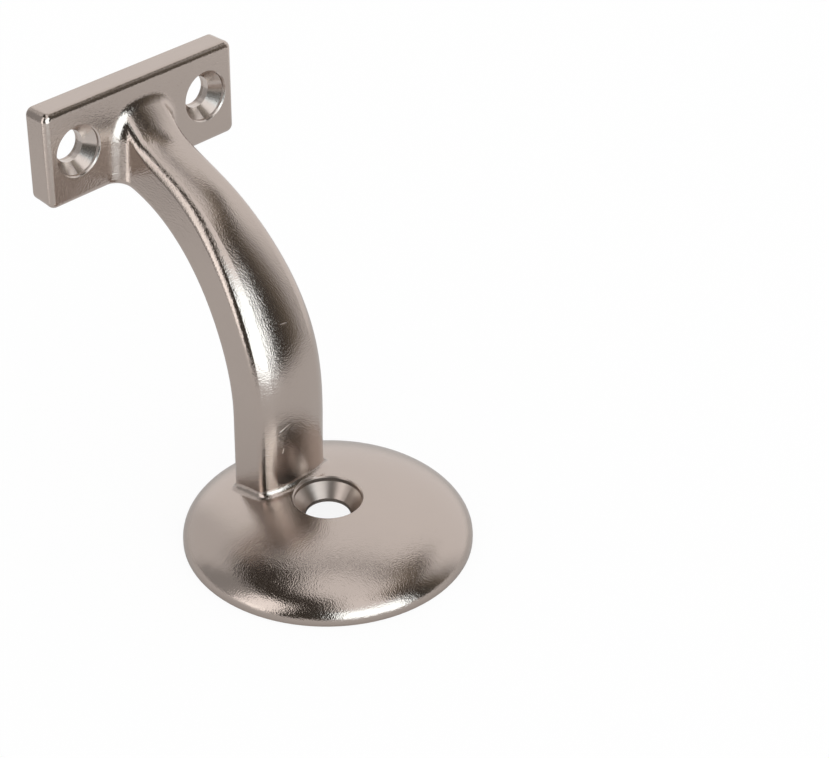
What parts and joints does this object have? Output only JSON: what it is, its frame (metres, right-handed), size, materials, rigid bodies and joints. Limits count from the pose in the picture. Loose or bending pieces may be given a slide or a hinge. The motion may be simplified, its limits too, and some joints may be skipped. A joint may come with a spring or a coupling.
{
  "type": "handrail bracket",
  "caption": "Cast handrail bracket: a domed round rose for the wall, a curved crowned arm, and a flat saddle plate that is screwed under the rail.",
  "frame": {"origin": "centre of the rose's face on the wall, where the axis of the wall screw meets the wall", "axes": "+Z out of the wall along the axis of the rose, +Y up the wall towards the rail, +X along the rail"},
  "size_m": [0.058, 0.0845, 0.0837],
  "materials": {
    "satin_nickel": "satin nickel plate on a die casting"
  },
  "bodies": {
    "root": {"bracket": "satin_nickel"}
  },
  "joints": []
}
